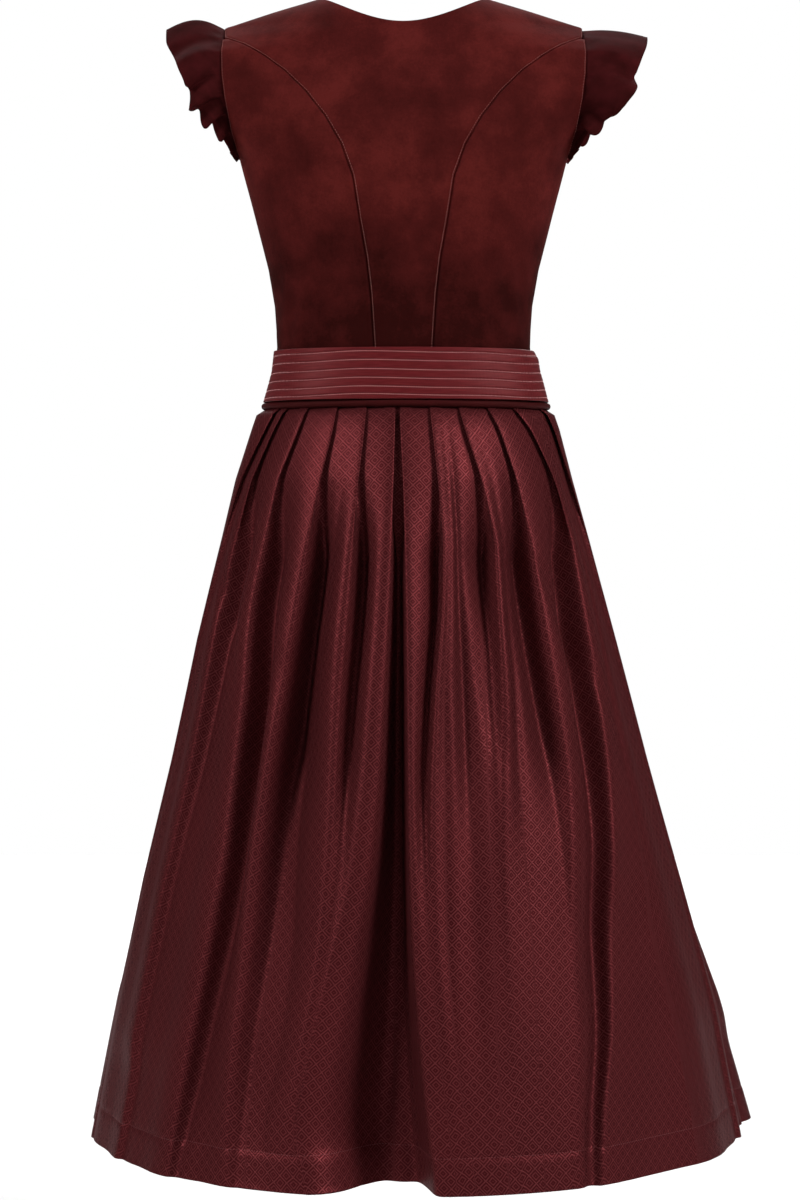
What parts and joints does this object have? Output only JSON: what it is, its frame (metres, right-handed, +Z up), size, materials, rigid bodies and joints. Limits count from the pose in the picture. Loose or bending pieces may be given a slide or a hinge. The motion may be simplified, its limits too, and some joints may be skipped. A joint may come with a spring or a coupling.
{
  "type": "dirndl dress",
  "caption": "Wine-red dirndl dress on an empty hollow form, seen as worn: princess-seamed bodice, frilled armholes, satin waistband and pleated midi skirt.",
  "frame": {"origin": "midway between the neck ends of the two shoulder seams, where the wearer's shoulders carry the dress", "axes": "+Z up, +Y towards the front of the dress, +X towards the wearer's right; the pictured back faces -Y"},
  "size_m": [0.6865, 0.5442, 1.141],
  "materials": {
    "velvet": "matt velour with a brushed nap",
    "frill_cloth": "thin matt woven cloth",
    "satin": "satin with stitched lines",
    "piping": "smooth dark satin cord",
    "jacquard": "sheen jacquard with a small lozenge lattice"
  },
  "bodies": {
    "root": {"bodice_back_centre": "velvet", "bodice_back_side_left": "velvet", "bodice_back_side_right": "velvet", "bodice_front_side_left": "velvet", "bodice_front_side_right": "velvet", "bodice_front_centre_left": "velvet", "bodice_front_centre_right": "velvet", "frill_left": "frill_cloth", "frill_right": "frill_cloth", "waistband": "satin", "waist_piping": "piping", "skirt_back": "jacquard", "skirt_front": "jacquard"}
  },
  "joints": []
}
